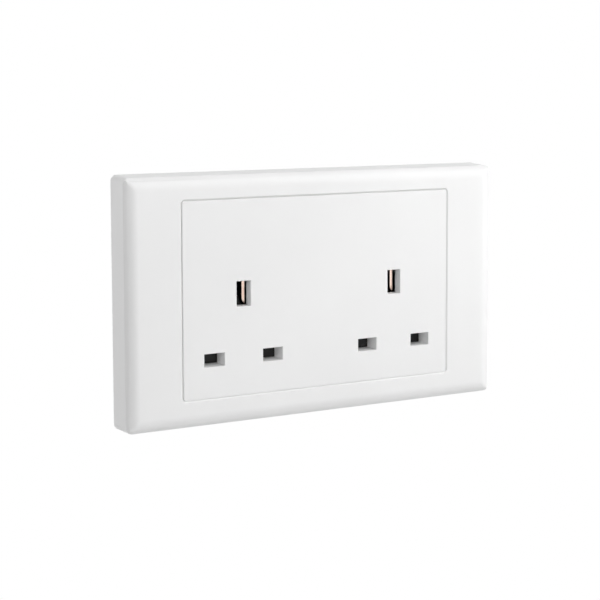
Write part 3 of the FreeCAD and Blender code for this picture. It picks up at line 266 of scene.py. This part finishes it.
white = moulded_white()
black = moulded_black()
housing_grey = moulded_grey("housing_grey", 0.055, 0.085, 0.52)
carrier_grey = moulded_grey("carrier_grey", 0.44, 0.52, 0.5)
zinc = zinc_sheet()
copper = rolled_alloy(
    "contact_copper", (0.78, 0.5, 0.41, 1), (0.9, 0.63, 0.52, 1), (0.5, 0.27, 0.2, 1), 0.2
)
earth_copper = rolled_alloy(
    "earth_copper", (0.82, 0.63, 0.53, 1), (0.92, 0.76, 0.66, 1), (0.6, 0.4, 0.32, 1), 0.16
)
strip_brass = rolled_alloy(
    "strip_brass", (0.72, 0.55, 0.28, 1), (0.84, 0.67, 0.38, 1), (0.42, 0.3, 0.15, 1), 0.26
)
terminal_brass = turned_metal("terminal_brass", (0.74, 0.58, 0.3, 1), (0.86, 0.71, 0.42, 1), 0.24)
screw_steel = turned_metal("screw_steel", (0.5, 0.5, 0.48, 1), (0.66, 0.66, 0.63, 1), 0.28)
spring_steel = turned_metal("spring_steel", (0.42, 0.42, 0.42, 1), (0.6, 0.6, 0.6, 1), 0.3)

# The finish of each piece, and how far its edges are rounded, in millimetres.
DRESSED = {
    "outer_frame": (white, 0.12),
    "cover_plate": (white, 0.16),
    "left_shutter": (black, 0.2),
    "right_shutter": (black, 0.2),
    "left_carrier": (carrier_grey, 0.15),
    "right_carrier": (carrier_grey, 0.15),
    "rear_body": (housing_grey, 0.3),
    "mounting_frame": (zinc, 0.15),
    "earth_clip_left": (earth_copper, 0.1),
    "earth_clip_right": (earth_copper, 0.1),
    "neutral_clip_left": (copper, 0.0),
    "live_clip_left": (copper, 0.0),
    "neutral_clip_right": (copper, 0.0),
    "live_clip_right": (copper, 0.0),
    "neutral_busbar": (strip_brass, 0.0),
    "live_busbar": (strip_brass, 0.0),
    "earth_busbar": (strip_brass, 0.0),
    "neutral_terminal": (terminal_brass, 0.15),
    "live_terminal": (terminal_brass, 0.15),
    "earth_terminal": (terminal_brass, 0.15),
    "clip_rivets": (terminal_brass, 0.0),
    "neutral_terminal_screw": (screw_steel, 0.15),
    "live_terminal_screw": (screw_steel, 0.15),
    "earth_terminal_screws": (screw_steel, 0.15),
    "housing_screws": (screw_steel, 0.15),
}


def put_in_scene(name, data):
    """A new object of that name, linked to the scene."""
    thing = bpy.data.objects.new(name, data)
    bpy.context.scene.collection.objects.link(thing)
    return thing


# The boxes of the surround and of the plate, and the plate's sides with the axis that each faces.
FRAME_LOW, FRAME_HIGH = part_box("outer_frame")
PLATE_LOW, PLATE_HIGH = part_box("cover_plate")
PLATE_SIDES = ((PLATE_LOW.x, 0), (PLATE_HIGH.x, 0), (PLATE_LOW.z, 2), (PLATE_HIGH.z, 2))

# Edges that turn by more than this are crisp, and of those the ones longer than this are rounded.
CRISP_TURN = math.radians(28)
SHORTEST_ROUNDED = 1.5 * MM

# Points nearer than this are one point, and faces that turn by less than this are one face.
SAME_SPOT = 0.002 * MM
SAME_PLANE = math.radians(0.5)

# The mitres where the surround's shoulders meet: how wide they are rounded, from which share of
# its projection on they count, from which share on they are rounded, and how true they run.
MITRE_ROUNDING = 0.7 * MM
MITRE_START = 0.8
MITRE_ROUNDED_FROM = 0.92
MITRE_SLACK = 0.02 * MM


def on_mitre(first, second):
    """Does an edge run down one of the four lines where the surround's shoulders meet?"""
    slant = abs(first.x - second.x) - abs(first.z - second.z)
    offset = FRAME_HIGH.x - FRAME_HIGH.z
    return abs(slant) < MITRE_SLACK and all(
        abs(abs(end.x) - abs(end.z) - offset) < MITRE_SLACK
        and end.y < FRAME_LOW.y * MITRE_START
        for end in (first, second)
    )


# The edges of the groove around the plate are not rounded, and those at the front are soft:
# how near to the plate's outline and to the front they are.
GROOVE_REACH = 0.3 * MM
FRONT_REACH = 0.05 * MM


def by_groove(*ends):
    """Do the ends of an edge lie on the outline of the plate?"""
    return all(
        min(abs(end[axis] - side) for side, axis in PLATE_SIDES) < GROOVE_REACH for end in ends
    )


def edge_turns(mesh):
    """How far the surface turns at each edge, also where the faces don't share their points."""
    spots = [tuple(round(value / SAME_SPOT) for value in vertex.co) for vertex in mesh.vertices]
    around = {}
    for face in mesh.polygons:
        for first, second in face.edge_keys:
            pair = frozenset((spots[first], spots[second]))
            around.setdefault(pair, []).append(face.normal)
    turns = []
    for edge in mesh.edges:
        normals = around[frozenset(spots[index] for index in edge.vertices)]
        turns.append(max(one.angle(other, 0.0) for one in normals for other in normals))
    return turns


def mark_edges(piece, rounded):
    """Weigh the long sharp edges for rounding, and mark the other sharp ones as crisp."""
    mesh = piece.data
    weights = mesh.attributes.new("bevel_weight_edge", "FLOAT", "EDGE")
    mitres = mesh.attributes.new("mitre_weight", "FLOAT", "EDGE")
    face_depth = min(vertex.co.y for vertex in mesh.vertices)
    for edge, turn in zip(mesh.edges, edge_turns(mesh)):
        first, second = (mesh.vertices[index].co for index in edge.vertices)
        deepest = max(first.y, second.y)
        mitred = piece.name == "outer_frame" and on_mitre(first, second)
        sharp = turn > CRISP_TURN
        in_groove = by_groove(first, second)
        long_enough = (first - second).length > SHORTEST_ROUNDED
        soft = in_groove and deepest < face_depth + FRONT_REACH
        if mitred and deepest < MITRE_ROUNDED_FROM * face_depth:
            mitres.data[edge.index].value = 1.0
        elif sharp and rounded and long_enough and not in_groove:
            weights.data[edge.index].value = 1.0
        elif (sharp or mitred) and not soft:
            edge.use_edge_sharp = True


def dress(piece, finish, rounding=0.0):
    """Give a piece its finish, smooth shading across its curves and broken edges."""
    piece.data.materials.clear()
    piece.data.materials.append(finish.material)
    for face in piece.data.polygons:
        face.use_smooth = True
    mark_edges(piece, rounding > 0.0)
    weld = piece.modifiers.new("weld", "WELD")
    weld.merge_threshold = SAME_SPOT
    merge = piece.modifiers.new("whole_faces", "DECIMATE")
    merge.decimate_type = "DISSOLVE"
    merge.angle_limit = SAME_PLANE
    if piece.name == "outer_frame":
        mitre = piece.modifiers.new("soft_mitres", "BEVEL")
        mitre.width = MITRE_ROUNDING
        mitre.segments = 3
        mitre.limit_method = "WEIGHT"
        mitre.edge_weight = "mitre_weight"
    if rounding:
        bevel = piece.modifiers.new("broken_edges", "BEVEL")
        bevel.width = rounding * MM
        bevel.segments = 2
        bevel.limit_method = "WEIGHT"
        bevel.miter_outer = "MITER_ARC"
    flat = piece.modifiers.new("flat_faces", "WEIGHTED_NORMAL")
    flat.mode = "FACE_AREA"
    flat.weight = 50
    flat.keep_sharp = True


# How far the front edges of the earth clips' leaves slant, and how deep the front reaches.
NOSE_SLANT = math.radians(19)
NOSE_REACH = 0.01 * MM


def slant_noses(name):
    """Slant the front edges of an earth clip's leaves toward the pin, as a lead-in."""
    piece = nodes[name]
    low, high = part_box(name)
    middle = (low.x + high.x) / 2
    front = [vertex for vertex in piece.data.vertices if vertex.co.y < low.y + NOSE_REACH]
    reach = max(abs(vertex.co.x - middle) for vertex in front)
    noses = piece.vertex_groups.new(name="noses")
    for vertex in front:
        set_back = (reach - abs(vertex.co.x - middle)) / MM
        noses.add([vertex.index], set_back, "REPLACE")
    slant = piece.modifiers.new("slanted_noses", "DISPLACE")
    slant.vertex_group = "noses"
    slant.direction = "Y"
    slant.mid_level = 0.0
    slant.strength = math.tan(NOSE_SLANT) * MM


def wind_spring(side):
    """The coil that closes a shutter: a dressed copy of the spring part, carried by the housing in
    the part's place, at its full length.
    """
    name = f"{side}_shutter_spring"
    joint = f"{side}_shutter_slide"
    joints = frame["record"]["behaviour"]["joints"]
    travel = max(next(row["range_m"] for row in joints if row["name"] == joint))
    spring = put_in_scene(f"{side}_coil", nodes[name].data.copy())
    dress(spring, spring_steel)
    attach(spring, "housing")
    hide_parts(name)
    low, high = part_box(name)
    1 - travel / (high.z - low.z)
    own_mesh(spring)


wind_spring("left")
wind_spring("right")
slant_noses("earth_clip_left")
slant_noses("earth_clip_right")
for node_name, (node_finish, node_rounding) in DRESSED.items():
    dress(nodes[node_name], node_finish, node_rounding)


# Each lamp's place, its width and height, and its power. All of them face the outlet.
LAMPS = {
    "front": ((0.2, -1.5, 0.2), (1.2, 1.0), 2.0),
    "right": ((1.35, -0.6, 0.3), (0.7, 0.9), 6.0),
    "near_right": ((0.5, -0.5, 0.15), (0.4, 0.5), 1.85),
    "near_top_right": ((0.3, -0.42, 0.5), (0.45, 0.35), 1.65),
    "near_left": ((-0.5, -0.55, 0.22), (0.4, 0.45), 1.6),
    "far_left": ((-1.5, -0.7, 0.35), (0.6, 0.8), 1.3),
    "side_back": ((-1.1, 0.75, 0.25), (0.8, 0.9), 5.4),
    "overhead": ((0.1, 0.0, 1.3), (0.8, 0.6), 1.9),
    "top_back": ((0.1, 0.7, 1.1), (0.8, 0.6), 2.0),
    "behind": ((0.6, 1.3, -0.1), (0.9, 0.5), 7.0),
}

# The even light of the room, and where the floor lies and how far it reaches each way.
AMBIENT = 0.02
FLOOR_DROP = 0.45
FLOOR_REACH = 6.0


def add_lamp(name, place, shape, watts):
    """A soft rectangular lamp that faces the outlet."""
    lamp = bpy.data.lights.new(name, "AREA")
    lamp.shape = "RECTANGLE"
    lamp.size, lamp.size_y = shape
    lamp.energy = watts
    holder = put_in_scene(name, lamp)
    holder.location = place
    holder.rotation_euler = (-Vector(place)).to_track_quat("-Z", "Y").to_euler()


def build_world():
    """An even pale sky that looks pure white to the camera and in reflections."""
    world = bpy.data.worlds.new("pale_room")
    bpy.context.scene.world = world
    world.use_nodes = True
    sheet = Sheet(world.node_tree, "ShaderNodeOutputWorld")
    ambient, paper = (
        sheet.node("ShaderNodeBackground", {}, {"Color": grey(1.0), "Strength": strength})
        for strength in (AMBIENT, 1.0)
    )
    sheet.show_where_seen(ambient, paper)


def build_floor():
    """A wide pale floor far below the outlet, white where it is seen."""
    mesh = bpy.data.meshes.new("floor")
    reach = FLOOR_REACH
    corners = [(-reach, -reach, 0), (reach, -reach, 0), (reach, reach, 0), (-reach, reach, 0)]
    mesh.from_pydata(corners, [], [(0, 1, 2, 3)])
    floor = put_in_scene("floor", mesh)
    floor.location = (0, 0, -FLOOR_DROP)
    finish = Finish("pale_floor")
    finish.set(Base_Color=grey(0.8), Roughness=0.9)
    glow = finish.node("ShaderNodeEmission", {}, {"Color": grey(1.0), "Strength": 1.0})
    finish.show_where_seen(finish.shader, glow)
    mesh.materials.append(finish.material)


build_world()
build_floor()
for lamp_name, (lamp_place, lamp_shape, lamp_watts) in LAMPS.items():
    add_lamp(lamp_name, lamp_place, lamp_shape, lamp_watts)


# The camera: where it stands in millimetres, how it is turned, how long its lens is, how far
# its frame is dropped as a share of the picture's width, and the nearest that it sees.
CAMERA_PLACE = (-225.7, -438.7, 74.4)
CAMERA_YAW = math.radians(27.03)
CAMERA_PITCH = math.radians(4.81)
CAMERA_ROLL = math.radians(-0.17)
CAMERA_FOCAL_PIXELS = 1370.0
PICTURE_PIXELS = 600
SENSOR_WIDTH = 36.0
CAMERA_DROP = 0.17
NEAREST_SEEN = 0.01


def build_camera():
    """The camera at the photograph's viewing angle."""
    camera = bpy.data.cameras.new("camera")
    camera.sensor_width = SENSOR_WIDTH
    camera.lens = CAMERA_FOCAL_PIXELS / PICTURE_PIXELS * SENSOR_WIDTH
    camera.shift_y = -CAMERA_DROP
    camera.clip_start = NEAREST_SEEN
    holder = put_in_scene("camera", camera)
    turn = (
        Matrix.Rotation(-CAMERA_YAW, 4, "Z")
        @ Matrix.Rotation(math.pi / 2 - CAMERA_PITCH, 4, "X")
        @ Matrix.Rotation(CAMERA_ROLL, 4, "Z")
    )
    place = Matrix.Translation(Vector(CAMERA_PLACE) * MM)
    holder.matrix_world = place @ turn
    bpy.context.scene.camera = holder


build_camera()
bpy.context.scene.view_settings.view_transform = "Standard"
